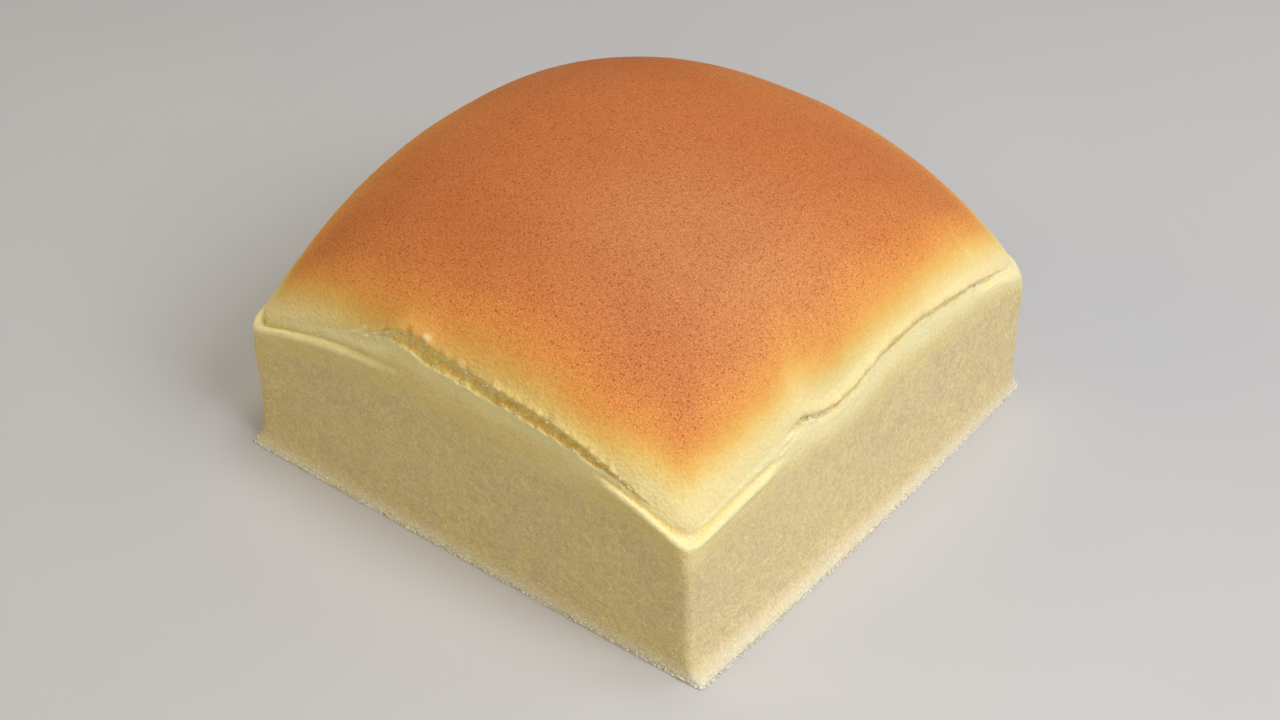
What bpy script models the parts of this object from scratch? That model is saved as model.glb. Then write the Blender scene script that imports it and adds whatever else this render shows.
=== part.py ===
"""Castella sponge cake: a square, tall-sided sponge cake with a high browned dome.

Metres, +Z up. The cake stands on z = 0 with its origin in the middle of its foot.
Its front side faces -Y and its right side faces +X.

Going up a side there come the flared foot, the slightly hollow wall, the rim ridge
that the tin's edge left, the fold above that ridge, the swollen band, the crack
where the top broke away as it rose, and then the dome. Two numbers place a point
of a side: its share of the way from corner to corner, -1 to 1, and its level:
0 at the foot, 1 on the rim ridge, 2 on the crack's lower lip, 3 where the dome starts.
"""

import math
from dataclasses import dataclass

import bmesh
import bpy

# Whole cake
FOOT_X = 0.1600
FOOT_Y = 0.1546
APEX_HEIGHT = 0.0900
APEX_SHIFT_X = 0.0050
APEX_SHIFT_Y = 0.0026

# The corners in order: front left, front right, back right, back left
CORNER_RIMS = (0.0398, 0.0416, 0.0418, 0.0404)
CORNER_STEPS = ((0.0023, 0.0022), (-0.0048, 0.0008), (-0.0006, -0.0009), (0.0018, -0.0018))

# Walls
WALL_RADIUS = 0.0012
FLARE_HEIGHT = 0.0030
WAIST = 0.0005
RIDGE_PROUD = 0.0010
BAND_BULGE = 0.0008
BAND_AT_CORNER = 0.0007
LIP_PROUD = 0.0007
EAR_DEPTH = 0.0010
EAR_LENGTH = 0.10  # as a share of half a side
RIDGE_BELOW_CRACK = 0.0011
RIDGE_BLEND = 0.2  # as a share of half a side
RIDGE_FADE = 0.7  # share of a ridge's reach after which it fades
CRACK_STARTS = 0.12  # share of half a side over which a crack opens
CRACK_CLOSES = 0.35

# Levels up a side, and how many levels each feature takes up on either side of its own
RIDGE_LEVEL = 1
FOLD_LEVEL = 1.30
EAR_LEVEL = 1.70
LIP_LEVEL = 2
CRACK_LEVEL = 2.5
EDGE_LEVEL = 3
BELOW_RIDGE = 0.10
ABOVE_RIDGE = 0.16
FOLD_SPREAD = 0.20
EAR_SPREAD = 0.50
LIP_SPREAD = 0.20
CRACK_SPREAD = 0.50

# Dome
DOME_INSET = 0.0023
DOME_FULLNESS = 1.9  # the higher it is, the squarer the dome is from above
DOME_STEEPNESS = 0.416  # the lower it is, the steeper the dome's edge and the flatter its top
DOME_CORNER = 0.056  # the larger it is, the rounder the dome's corners are from above
EDGE_RISE = 0.0006
EDGE_FADE = 12  # the higher it is, the sooner the edge's waves die away up the dome

# Mesh
RING_CROWDING = 1.5  # the higher it is, the closer the dome's rings lie near its edge
CORNER_STATIONS = (1, 0.985, 0.965, 0.935, 0.89)
EVEN_STATIONS = 26
LEVELS = (
    0, 0.03, 0.08, 0.18, 0.38, 0.58, 0.76, 0.88, 0.95,
    1, 1.10, 1.25, 1.45, 1.70, 1.90,
    2, 2.25, 2.50, 2.75, 3,
)


@dataclass
class Side:
    """The lines along one side. Shares run from -1 to 1, lengths are in metres."""

    ridge_rise: tuple  # climb of the rim ridge from each end's corner
    ridge_reach: tuple  # share of the side over which each ridge climbs, then fades
    crack_arch: float  # climb of the crack's lower lip in the middle of the side
    crack_lean: float  # above 0 the arch leans towards the side's end
    crack_ends: tuple  # shares between which the crack runs
    crack_depth: float  # how far the crack cuts into the cake
    crack_drop: float  # how far the crack's floor lies below its lower lip
    crack_gape: float  # height of the crack's mouth where it is a slit
    crack_yawn: tuple  # (share, width, height) of the stretch where it stands open
    foot_bow: float  # how far the foot's middle stands out from its ends
    waves: tuple  # (share, width, height) of each wave in the crack's line


SIDES = (
    Side((0.0104, 0.0088), (0.85, 0.42), 0.0174, 0.10, (-0.50, 0.95),
         0.0030, 0.0024, 0.0008, (-0.14, 0.22, 0.0034), 0.0004,
         ((-0.285, 0.16, 0.0056),)),
    Side((0.0040, 0.0045), (0.55, 0.40), 0.0113, 0.06, (-0.50, 0.97),
         0.0018, 0.0010, 0.0007, (-0.46, 0.06, 0.0006), 0.0012,
         ((-0.185, 0.21, -0.0049), (-0.43, 0.08, 0.0018))),
    Side((0.0072, 0.0080), (0.45, 0.60), 0.0200, 0.05, (-0.70, 0.55),
         0.0022, 0.0012, 0.0008, (-0.30, 0.20, 0.0014), 0.0004,
         ((0.20, 0.15, 0.0016),)),
    Side((0.0080, 0.0096), (0.60, 0.70), 0.0192, -0.05, (-0.60, 0.75),
         0.0026, 0.0018, 0.0008, (0.10, 0.25, 0.0022), 0.0013,
         ((-0.20, 0.15, -0.0016),)),
)
SIDE_ARCH_POWER = 2.3


def smooth_step(value, start, end):
    t = min(max((value - start) / (end - start), 0), 1)
    return t * t * (3 - 2 * t)


def bump(value, centre, width):
    return math.exp(-(((value - centre) / width) ** 2))


def corner_line(side, share):
    """Height of the straight line between the rims of the side's two corners."""
    start = CORNER_RIMS[side]
    end = CORNER_RIMS[(side + 1) % 4]
    return start + (end - start) * (share + 1) / 2


def climb(distance, reach, rise):
    """An arch that leaves a corner steeply and is level once it is reach away."""
    left = 1 - min(max(distance / reach, 0), 1)
    return rise * (1 - left * left)


def crack_arch(side, share):
    shape = SIDES[side]
    return shape.crack_arch * (1 - abs(share) ** SIDE_ARCH_POWER) * (1 + shape.crack_lean * share)


def crack_waves(side, share):
    return sum(height * bump(share, centre, width) for centre, width, height in SIDES[side].waves)


def edge_height(side, share):
    """Smooth height of the dome's lower edge, without the waves of the crack."""
    return corner_line(side, share) + BAND_AT_CORNER + crack_arch(side, share)


def lower_edges(across, along):
    """The surface that joins the dome's four lower edges, at shares from -1 to 1."""
    front = edge_height(0, across)
    right = edge_height(1, along)
    back = edge_height(2, -across)
    left = edge_height(3, -along)
    toward_right = (1 + across) / 2
    toward_back = (1 + along) / 2
    lofts = front + (back - front) * toward_back + left + (right - left) * toward_right
    south = CORNER_RIMS[0] + (CORNER_RIMS[1] - CORNER_RIMS[0]) * toward_right
    north = CORNER_RIMS[3] + (CORNER_RIMS[2] - CORNER_RIMS[3]) * toward_right
    corners = south + (north - south) * toward_back + BAND_AT_CORNER
    flattening = SIDES[0].crack_arch * (1 - across**2) * (1 - along**2)
    return lofts - corners - flattening


def crack_height(side, share):
    """Height of the crack's lower lip."""
    return lower_edges(*dome_outline(side, share, 1, 1)) + crack_waves(side, share)


def ridge_height(side, share):
    shape = SIDES[side]
    from_start = climb(1 + share, shape.ridge_reach[0], shape.ridge_rise[0])
    from_end = climb(1 - share, shape.ridge_reach[1], shape.ridge_rise[1])
    meet = (shape.ridge_reach[0] - shape.ridge_reach[1]) / 2
    second = smooth_step(share, meet - RIDGE_BLEND, meet + RIDGE_BLEND)
    height = corner_line(side, share) + from_start * (1 - second) + from_end * second
    return min(height, crack_height(side, share) - RIDGE_BELOW_CRACK)


def ridge_strength(side, share):
    """1 near the corners, fading to 0 where the ridge has run out."""
    start, end = SIDES[side].ridge_reach
    near_start = 1 - smooth_step(1 + share, RIDGE_FADE * start, start)
    near_end = 1 - smooth_step(1 - share, RIDGE_FADE * end, end)
    return max(near_start, near_end)


def crack_strength(side, share):
    start, end = SIDES[side].crack_ends
    opened = smooth_step(share, start, start + CRACK_STARTS)
    closed = smooth_step(share, end - CRACK_CLOSES, end)
    return opened * (1 - closed)


def gape(side, share):
    """Height of the crack's mouth."""
    shape = SIDES[side]
    centre, width, yawn = shape.crack_yawn
    return crack_strength(side, share) * (shape.crack_gape + yawn * bump(share, centre, width))


def corner_nearness(share):
    return bump(abs(share), 1, EAR_LENGTH)


def crack_nearness(level):
    """1 on the crack's floor, falling evenly to 0 at its lower lip and at the dome's edge."""
    return max(0, 1 - abs(level - CRACK_LEVEL) / CRACK_SPREAD)


def point_height(side, share, level):
    ridge = ridge_height(side, share)
    lip = crack_height(side, share)
    if level <= RIDGE_LEVEL:
        return level * ridge
    if level <= LIP_LEVEL:
        return ridge + (level - RIDGE_LEVEL) * (lip - ridge)
    opening = (level - LIP_LEVEL) * (gape(side, share) + EDGE_RISE)
    drop = SIDES[side].crack_drop * crack_strength(side, share)
    return lip + opening - drop * crack_nearness(level)


def point_inset(side, share, level):
    """How far a point of the side lies in from the wall's outline."""
    if level < RIDGE_LEVEL:
        inset = WAIST * math.sin(math.pi * level)
        ridge_spread = BELOW_RIDGE
    else:
        inset = -BAND_BULGE * math.sin(math.pi * min(level - RIDGE_LEVEL, 1))
        ridge_spread = ABOVE_RIDGE
    fold = bump(level, FOLD_LEVEL, FOLD_SPREAD) - bump(level, RIDGE_LEVEL, ridge_spread)
    inset += ridge_strength(side, share) * RIDGE_PROUD * fold
    inset += corner_nearness(share) * EAR_DEPTH * bump(level, EAR_LEVEL, EAR_SPREAD)
    crack = SIDES[side].crack_depth * crack_nearness(level)
    crack -= LIP_PROUD * bump(level, LIP_LEVEL, LIP_SPREAD)
    return inset + crack_strength(side, share) * crack


def turned(side, along, across):
    """Places a point given along its side and outward from the middle."""
    turn = side * math.pi / 2
    cosine = round(math.cos(turn))
    sine = round(math.sin(turn))
    return along * cosine + across * sine, along * sine - across * cosine


def halves(side, half_x, half_y):
    return (half_x, half_y) if side % 2 == 0 else (half_y, half_x)


def wall_outline(side, share, half_x, half_y):
    """A point of the walls' outline, a rectangle with slightly rounded corners."""
    half_along, half_across = halves(side, half_x, half_y)
    straight = 1 - WALL_RADIUS / half_along
    past = max(0, abs(share) - straight) / (1 - straight)
    bend = math.atan(past)
    along = min(abs(share), straight) * half_along + WALL_RADIUS * math.sin(bend)
    across = half_across - WALL_RADIUS + WALL_RADIUS * math.cos(bend)
    return turned(side, math.copysign(along, share), across)


def dome_outline(side, share, half_x, half_y):
    """A point of the dome's outline, where its puff has fallen to nothing."""
    half_along, half_across = halves(side, half_x, half_y)
    corner = (1 - DOME_CORNER) ** (1 / DOME_FULLNESS)
    v = share * corner
    u = (1 - DOME_CORNER**2 / (1 - abs(v) ** DOME_FULLNESS)) ** (1 / DOME_FULLNESS)
    return turned(side, v * half_along, u * half_across)


def stepped_in(x, y, amount):
    """Moves a point with the corners, each of which has its own step in from the foot."""
    right = 0.5 + x / FOOT_X
    back = 0.5 + y / FOOT_Y
    weights = ((1 - right) * (1 - back), right * (1 - back), right * back, (1 - right) * back)
    step_x = sum(weight * step[0] for weight, step in zip(weights, CORNER_STEPS))
    step_y = sum(weight * step[1] for weight, step in zip(weights, CORNER_STEPS))
    return x + amount * step_x, y + amount * step_y


def side_point(side, share, level):
    z = point_height(side, share, level)
    inset = point_inset(side, share, level)
    x, y = wall_outline(side, share, FOOT_X / 2 - inset, FOOT_Y / 2 - inset)
    bow = SIDES[side].foot_bow * (1 - share * share) * max(0, RIDGE_LEVEL - level)
    bow_x, bow_y = turned(side, 0, bow)
    if level > RIDGE_LEVEL:
        inset += DOME_INSET
        dome_x, dome_y = dome_outline(side, share, FOOT_X / 2 - inset, FOOT_Y / 2 - inset)
        inward = (level - RIDGE_LEVEL) / (EDGE_LEVEL - RIDGE_LEVEL)
        x += (dome_x - x) * inward
        y += (dome_y - y) * inward
    x, y = stepped_in(x + bow_x, y + bow_y, 1 - math.exp(-z / FLARE_HEIGHT))
    return x, y, z


def dome_point(across, along):
    """A point of the dome, at grid shares from -1 to 1 along X and along Y."""
    loop = max(abs(across), abs(along))
    if loop == 0:
        side, share = 0, 0.0
    elif along == -loop:
        side, share = 0, across / loop
    elif across == loop:
        side, share = 1, along / loop
    elif along == loop:
        side, share = 2, -across / loop
    else:
        side, share = 3, -along / loop
    reach = 1 - (1 - loop) ** RING_CROWDING
    half_x = FOOT_X / 2 - DOME_INSET
    half_y = FOOT_Y / 2 - DOME_INSET
    edge_x, edge_y = dome_outline(side, share, half_x, half_y)
    x = edge_x * reach
    y = edge_y * reach
    u = x / half_x
    v = y / half_y
    product = (1 - abs(u) ** DOME_FULLNESS) * (1 - abs(v) ** DOME_FULLNESS)
    puff = max(0, (product - DOME_CORNER**2) / (1 - DOME_CORNER**2))
    rise = APEX_HEIGHT - lower_edges(0, 0)
    z = lower_edges(u, v) + rise * puff**DOME_STEEPNESS
    z += loop**EDGE_FADE * (crack_waves(side, share) + gape(side, share) + EDGE_RISE)
    shift = (1 - u * u) * (1 - v * v)
    x, y = stepped_in(x, y, 1)
    return x + APEX_SHIFT_X * shift, y + APEX_SHIFT_Y * shift, z


def share_stations():
    """Shares along a side, closer together towards its corners."""
    last = CORNER_STATIONS[-1]
    run = [-last + 2 * last * step / EVEN_STATIONS for step in range(1, EVEN_STATIONS)]
    return [-share for share in CORNER_STATIONS] + run + list(CORNER_STATIONS[::-1])


def add_walls(cake, stations):
    """Rings of vertices from the foot to the dome's edge, bridged by faces."""
    rings = []
    for level in LEVELS:
        ring = []
        for side in range(4):
            for share in stations[:-1]:
                ring.append(cake.verts.new(side_point(side, share, level)))
        rings.append(ring)
    count = len(rings[0])
    for low, high in zip(rings, rings[1:]):
        for i in range(count):
            j = (i + 1) % count
            cake.faces.new((low[i], low[j], high[j], high[i]))
    return rings


def add_dome(cake, stations, edge_ring):
    """A grid over the top, sewn to the walls' highest ring."""
    last = len(stations) - 1
    grid = {}
    for i, across in enumerate(stations):
        for j, along in enumerate(stations):
            if 0 < i < last and 0 < j < last:
                grid[i, j] = cake.verts.new(dome_point(across, along))
    for k in range(last):
        grid[k, 0] = edge_ring[k]
        grid[last, k] = edge_ring[last + k]
        grid[last - k, last] = edge_ring[2 * last + k]
        grid[0, last - k] = edge_ring[3 * last + k]
    for i in range(last):
        for j in range(last):
            cake.faces.new((grid[i, j], grid[i + 1, j], grid[i + 1, j + 1], grid[i, j + 1]))


def centre_on_box(cake):
    """Puts the middle of the cake's box, seen from above, on the origin."""
    for axis in (0, 1):
        places = [vertex.co[axis] for vertex in cake.verts]
        middle = (min(places) + max(places)) / 2
        for vertex in cake.verts:
            vertex.co[axis] -= middle


def sponge_material():
    material = bpy.data.materials.new("sponge")
    material.use_nodes = True
    shader = material.node_tree.nodes["Principled BSDF"]
    shader.inputs["Base Color"].default_value = (0.80, 0.56, 0.22, 1)
    shader.inputs["Roughness"].default_value = 0.75
    shader.inputs["Metallic"].default_value = 0
    return material


def main():
    for old in list(bpy.data.objects):
        bpy.data.objects.remove(old)
    stations = share_stations()
    cake = bmesh.new()
    rings = add_walls(cake, stations)
    add_dome(cake, stations, rings[-1])
    cake.faces.new(rings[0][::-1])
    centre_on_box(cake)
    mesh = bpy.data.meshes.new("cake")
    cake.to_mesh(mesh)
    cake.free()
    mesh.shade_smooth()
    mesh.materials.append(sponge_material())
    bpy.context.scene.collection.objects.link(bpy.data.objects.new("cake", mesh))


main()
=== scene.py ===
"""Looks for the castella sponge cake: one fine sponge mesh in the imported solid's place, its crumbs and its fibres."""

import math

import bpy
import numpy as np
from mathutils import Matrix, Vector, noise


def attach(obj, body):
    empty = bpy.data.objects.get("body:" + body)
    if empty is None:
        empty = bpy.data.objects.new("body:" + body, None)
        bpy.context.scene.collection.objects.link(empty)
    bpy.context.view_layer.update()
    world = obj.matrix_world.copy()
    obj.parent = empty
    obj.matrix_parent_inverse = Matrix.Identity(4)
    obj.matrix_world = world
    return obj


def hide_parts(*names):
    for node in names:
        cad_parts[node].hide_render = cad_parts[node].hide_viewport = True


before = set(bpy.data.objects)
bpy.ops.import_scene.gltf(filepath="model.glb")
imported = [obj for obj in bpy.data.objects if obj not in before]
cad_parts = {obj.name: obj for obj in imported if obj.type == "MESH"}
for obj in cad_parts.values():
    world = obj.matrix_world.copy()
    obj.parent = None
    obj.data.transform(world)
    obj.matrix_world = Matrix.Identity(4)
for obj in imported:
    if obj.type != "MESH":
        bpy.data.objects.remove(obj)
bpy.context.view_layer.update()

# The solid's named sizes in metres, as in the part's source, but with rounder upright corners and a fuller band
FOOT_X = 0.1600
FOOT_Y = 0.1546
APEX_HEIGHT = 0.0900
APEX_SHIFT = (0.0050, 0.0026)
CORNER_RIMS = (0.0398, 0.0416, 0.0418, 0.0404)
CORNER_STEPS = ((0.0023, 0.0022), (-0.0048, 0.0008), (-0.0006, -0.0009), (0.0018, -0.0018))
WALL_RADIUS = 0.0022
FLARE_HEIGHT = 0.0030
WAIST = 0.0005
BAND_BULGE = 0.0013
BAND_AT_CORNER = 0.0007
EAR_DEPTH = 0.0010
EAR_LENGTH = 0.10
RIDGE_BELOW_CRACK = 0.0011
RIDGE_BLEND = 0.2
RIDGE_FADE = 0.7
CRACK_CLOSES = 0.35
DOME_INSET = 0.0023
DOME_FULLNESS = 1.9
DOME_STEEPNESS = 0.416
DOME_CORNER = 0.056
EDGE_RISE = 0.0006
EDGE_FADE = 12
SIDE_ARCH_POWER = 2.3
CENTRING = (0.00005, 0.0)

# Each side's shape: the ridge's rise and reach from its two corners, the crack's arch, lean, closing share, width and
# waves, and the wall's bow. Sides run 0 to 3 from -Y through +X, +Y and -X, and shares from -1 to 1 along each
SIDES = (
    dict(rise=(0.0104, 0.0088), reach=(0.85, 0.42), arch=0.0174, lean=0.10, closes=0.95, bow=0.0004,
         gape=0.0008, yawn=(-0.14, 0.22, 0.0034), waves=((-0.285, 0.16, 0.0056),)),
    dict(rise=(0.0040, 0.0045), reach=(0.55, 0.40), arch=0.0113, lean=0.06, closes=0.97, bow=0.0012,
         gape=0.0007, yawn=(-0.46, 0.06, 0.0006), waves=((-0.185, 0.21, -0.0049), (-0.43, 0.08, 0.0018))),
    dict(rise=(0.0072, 0.0080), reach=(0.45, 0.60), arch=0.0200, lean=0.05, closes=0.55, bow=0.0004,
         gape=0.0008, yawn=(-0.30, 0.20, 0.0014), waves=((0.20, 0.15, 0.0016),)),
    dict(rise=(0.0080, 0.0096), reach=(0.60, 0.70), arch=0.0192, lean=-0.05, closes=0.75, bow=0.0013,
         gape=0.0008, yawn=(0.10, 0.25, 0.0022), waves=((-0.20, 0.15, -0.0016),)),
)

# Fine mesh: the dome's cap is coarse, the rings around it are twice as fine, and those near the crack twice again.
# Levels run from the foot (0) to the rim (1), lower lip (2), dome's edge (3) and the cap's outline (4)
RIM, LIP, EDGE, CAP = 1, 2, 3, 4
MID_WALL = 0.9
CAP_INTERVALS = 76
CORNER_STATIONS = (1, 0.990, 0.975, 0.955)
WALL_RINGS = 30
BAND_RINGS = 18
CRACK_RINGS = 22
SKIRT_RINGS = 20
FINE_FROM = 1.5
FINE_TO = 3.45
SKIRT = 0.10
SKIRT_POWER = 2.2
RING_CROWDING = 1.5

# Softness and detail of the rim, in metres
RIM_RADIUS = 0.0048
SOFT_RIM = 0.0007
SOFT_EDGE = 0.0030
EDGE_REACH = 0.0080
SOFT_TURN = 0.0028
TURN_REACH = 0.0060
BAND_LEAN = 0.0011
LIP_IN = 0.38
EDGE_FLARE = 0.0015
FLARE_REACH = 0.0075
FLARE_RAISE = 0.5
LEFT_FLARE = 0.9
LEFT_SPAN = 0.50
CREST = (0.0006, 0.0013)
CRESTS = ((1.0, 1.0), (1.0, 0.2), (0.2, 0.8), (0.8, 1.0))
FOLD = (0.0009, 0.0012)
FOLD_AT = 0.0025
FOLD_AT_CORNER = 0.0012
# Each side's torn crack: how far the band leans in, how far the painted highlight under the lip reaches, the lip's
# bulge and its width, the roll of the upper lip and how far over the edge it sits, raggedness, depth, sag, golden
# share, where it opens, and where the lower lip settles and the gap widens
TEARS = (
    dict(lean=0.0, pale=0.0105, lip=0.0010, wide=0.0018, roll=0.0004, over=0.0004,
         ragged=1.2, depth=0.0007, sag=0.0005, gold=1.0, opens=(-0.46, 0.30), settle=(-0.30, 0.13, 0.0021),
         widen=((0.18, 0.24, 0.0018, 0.55), (0.54, 0.20, 0.0013, 0.40))),
    dict(lean=0.6, pale=0.0140, lip=0.0004, wide=0.0020, roll=0.0006, over=0.0012,
         ragged=1.0, depth=0.0014, sag=0.0008, gold=0.1, opens=(-0.50, 0.12), settle=(0.0, 1.0, 0.0),
         widen=((0.20, 0.60, 0.0001, 0.0),)),
    dict(lean=0.3, pale=0.0070, lip=0.0005, wide=0.0014, roll=0.0005, over=0.0008,
         ragged=0.6, depth=0.0013, sag=0.0008, gold=0.8, opens=(-0.70, 0.16), settle=(0.0, 1.0, 0.0),
         widen=()),
    dict(lean=0.3, pale=0.0060, lip=0.0006, wide=0.0016, roll=0.0004, over=0.0005,
         ragged=0.9, depth=0.0014, sag=0.0009, gold=0.9, opens=(-0.60, 0.20), settle=(0.0, 1.0, 0.0),
         widen=((-0.05, 0.25, 0.0012, 0.5),)),
)
# The torn lips' noise: size of its features, octaves, and height on the lower and the upper lip. Then where it
# acts, as distance from the lip or the dome's edge and width, and the span of the upper lip's roll
FINE_TEAR = (0.0034, 4, (0.0008, 0.0007))
BROAD_TEAR = (0.011, 2, (0.0007, 0.0006))
LOWER_TEAR_UP = (0.0003, 0.0011)
LOWER_TEAR_OUT = (0.0006, 0.0010)
LOWER_TEAR_LEAN = 0.6
UPPER_TEAR_UP = (0, 0.0013)
UPPER_TEAR_OUT = (0.0002, 0.0012)
ROLL_WIDTH = 0.0013
ROLL_FROM = -0.0011
# The painted highlight strip on the ridge, from the rim down and up
RIDGE_LIT = (-0.0018, 0.0004)
# Where each side's crust browns early or late: share, width, millimetres
BROWNING = (
    ((-0.23, 0.32, 9.5), (0.30, 0.35, 4.5), (0.66, 0.20, 3.6), (1.0, 0.25, -3.0)),
    ((-0.30, 0.42, -1.3), (0.20, 0.30, 2.2), (-1.0, 0.25, -3.0)),
    ((0.10, 0.50, 3.0),),
    ((-0.10, 0.40, 4.0),),
)
# Small torn bits and pits near the crack: side, share, its width, metres above the dome's edge, width, height
BITS = (
    (0, -0.455, 0.030, -0.0003, 0.0007, 0.0006),
    (0, -0.400, 0.022, -0.0016, 0.0006, 0.0006),
    (0, -0.365, 0.018, -0.0006, 0.0006, 0.0005),
    (0, -0.425, 0.014, 0.0010, 0.0006, 0.0005),
    (0, -0.340, 0.012, 0.0006, 0.0005, 0.0004),
    (0, 0.060, 0.014, 0.0010, 0.0006, 0.0003),
    (0, 0.210, 0.016, 0.0009, 0.0006, 0.0003),
    (0, -0.105, 0.016, 0.0016, 0.0007, 0.0006),
    (0, -0.316, 0.006, 0.0018, 0.0018, -0.0004),
    (1, 0.570, 0.012, -0.0006, 0.0005, 0.0004),
    (1, 0.600, 0.018, -0.0012, 0.0007, 0.0005),
    (1, 0.645, 0.014, -0.0024, 0.0006, 0.0005),
    (1, 0.690, 0.016, -0.0018, 0.0006, 0.0004),
    (1, -0.400, 0.022, -0.0008, 0.0006, -0.0007),
    (1, -0.310, 0.020, -0.0008, 0.0006, -0.0006),
    (1, -0.470, 0.030, -0.0018, 0.0006, 0.0006),
    (1, -0.430, 0.045, -0.0032, 0.0006, -0.0006),
    (1, -0.360, 0.026, -0.0020, 0.0005, 0.0006),
    (1, -0.520, 0.030, -0.0040, 0.0006, 0.0005),
    (1, -0.270, 0.018, -0.0014, 0.0005, 0.0005),
    (2, 0.350, 0.024, -0.0004, 0.0007, 0.0005),
    (3, -0.420, 0.028, -0.0005, 0.0007, 0.0005),
    (3, 0.480, 0.020, 0.0012, 0.0006, 0.0004),
)
FLECK_HEIGHT = 0.0004

# Relief of the skin, in metres: swells and grain by where they lie
SWELL_SIZE = 0.022
GRAIN_SIZE = 0.0035
TORN_SIZE = 0.0016
WALL_SWELL = 0.00018
CRUST_SWELL = 0.00012
CRUMB_GRAIN = 0.00010
CRUST_GRAIN = 0.00002
CRACK_GRAIN = 0.0003
EDGE_GRAIN = 0.00010

# Loose crumbs: how many, least and greatest radius, how far out they stray, and how golden the torn ones are
CRUMBS = dict(
    foot=(4600, (0.00010, 0.00032), 0.0005, 0.0),
    dust=(1600, (0.00010, 0.00022), 0.0, 0.0),
    torn=(2400, (0.00012, 0.00040), 0.0, 0.8),
    fold=(600, (0.00010, 0.00024), 0.0, 0.4),
)
CRUMB_STRAY = 0.0005
CRUMB_PILE = 0.00035
DUST_FADE = 0.0050
# Crumb fibres: how many, least and greatest length, and how far they stray
FIBRES = dict(
    foot=(20000, (0.0004, 0.0011), 0.0006),
    wall=(12000, (0.00018, 0.00040), 0.0003),
)
FIBRE_FADE = 0.006
FIBRE_THICKNESS = (0.00005, 0.00010)
FIBRE_ROOT = 0.0001
FOOT_BELOW = 0.0012
FIBRE_FOOT_BELOW = 0.0016
WALL_ABOVE = 0.0005

# Lights: name, place, power and colour. All aim at the cake's middle
LIGHT_SIZE = 0.8
LIGHT_TARGET = (0, 0, 0.04)
LIGHTS = (
    ("key", (1.05, -0.10, 0.95), 10.8, (1.0, 1.01, 1.19)),
    ("overhead", (0.10, 0.10, 1.35), 6.9, (1.0, 1.035, 1.09)),
    ("back", (0.70, 0.90, 1.00), 2.1, (1.0, 1.02, 1.06)),
    ("front", (0.75, -1.10, 0.90), 3.0, (1.0, 1.12, 0.86)),
    ("left", (-0.95, -1.05, 0.90), 4.6, (1.0, 0.775, 0.40)),
)
ROOM_COLOUR = (1.0, 0.97, 0.94, 1)
ROOM_STRENGTH = 0.06
FLOOR_HALF = 3.0

# The photograph's viewing angle: azimuth from the -Y side towards +X, elevation and roll in degrees, and the lens
VIEW_ANGLES = (38.647, 37.139, -0.760)
VIEW_PLACE = (0.2943, -0.3681, 0.3762)
LENS = 58.606
SENSOR = 36


def smooth_step(value, start, end):
    t = np.clip((value - start) / (end - start), 0, 1)
    return t * t * (3 - 2 * t)


def bump(value, centre, width):
    return np.exp(-(((value - centre) / width) ** 2))


def unit(vectors):
    return vectors / np.linalg.norm(vectors, axis=-1, keepdims=True)


def arc_lengths(path):
    """How far each row of the path lies along its column."""
    steps = np.linalg.norm(np.diff(path, axis=0), axis=-1)
    return np.concatenate([np.zeros((1, steps.shape[1])), np.cumsum(steps, 0)])


def row_at(levels, level):
    return np.argmin(np.abs(levels - level))


def corner_line(side, share):
    start = CORNER_RIMS[side]
    end = CORNER_RIMS[(side + 1) % 4]
    return start + (end - start) * (share + 1) / 2


def climb(distance, reach, rise):
    left = 1 - np.clip(distance / reach, 0, 1)
    return rise * (1 - left * left)


def crack_arch(side, share):
    shape = SIDES[side]
    return shape["arch"] * (1 - np.abs(share) ** SIDE_ARCH_POWER) * (1 + shape["lean"] * share)


def crack_waves(side, share):
    total = 0 * share
    for centre, width, height in SIDES[side]["waves"]:
        total = total + height * bump(share, centre, width)
    return total


def edge_height(side, share):
    return corner_line(side, share) + BAND_AT_CORNER + crack_arch(side, share)


def lower_edges(across, along):
    front = edge_height(0, across)
    right = edge_height(1, along)
    back = edge_height(2, -across)
    left = edge_height(3, -along)
    toward_right = (1 + across) / 2
    toward_back = (1 + along) / 2
    lofts = front + (back - front) * toward_back + left + (right - left) * toward_right
    south = CORNER_RIMS[0] + (CORNER_RIMS[1] - CORNER_RIMS[0]) * toward_right
    north = CORNER_RIMS[3] + (CORNER_RIMS[2] - CORNER_RIMS[3]) * toward_right
    corners = south + (north - south) * toward_back + BAND_AT_CORNER
    flattening = SIDES[0]["arch"] * (1 - across**2) * (1 - along**2)
    return lofts - corners - flattening


def crack_height(side, share):
    return lower_edges(*dome_outline(side, share, 1, 1)) + crack_waves(side, share)


def ridge_height(side, share):
    (rise_start, rise_end), (reach_start, reach_end) = SIDES[side]["rise"], SIDES[side]["reach"]
    from_start = climb(1 + share, reach_start, rise_start)
    from_end = climb(1 - share, reach_end, rise_end)
    meet = (reach_start - reach_end) / 2
    second = smooth_step(share, meet - RIDGE_BLEND, meet + RIDGE_BLEND)
    height = corner_line(side, share) + from_start * (1 - second) + from_end * second
    return np.minimum(height, crack_height(side, share) - RIDGE_BELOW_CRACK)


def ridge_strength(side, share):
    start, end = SIDES[side]["reach"]
    near_start = 1 - smooth_step(1 + share, RIDGE_FADE * start, start)
    near_end = 1 - smooth_step(1 - share, RIDGE_FADE * end, end)
    return np.maximum(near_start, near_end)


def crest_strength(side, share):
    """The rim's crest: worn round toward the back right corner."""
    start, end = CRESTS[side]
    return ridge_strength(side, share) * (start + (end - start) * smooth_step(share, -1, 1))


def crack_strength(side, share):
    end = SIDES[side]["closes"]
    start, length = TEARS[side]["opens"]
    opened = smooth_step(share, start, start + length)
    closed = smooth_step(share, end - CRACK_CLOSES, end)
    return opened * (1 - closed)


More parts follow.
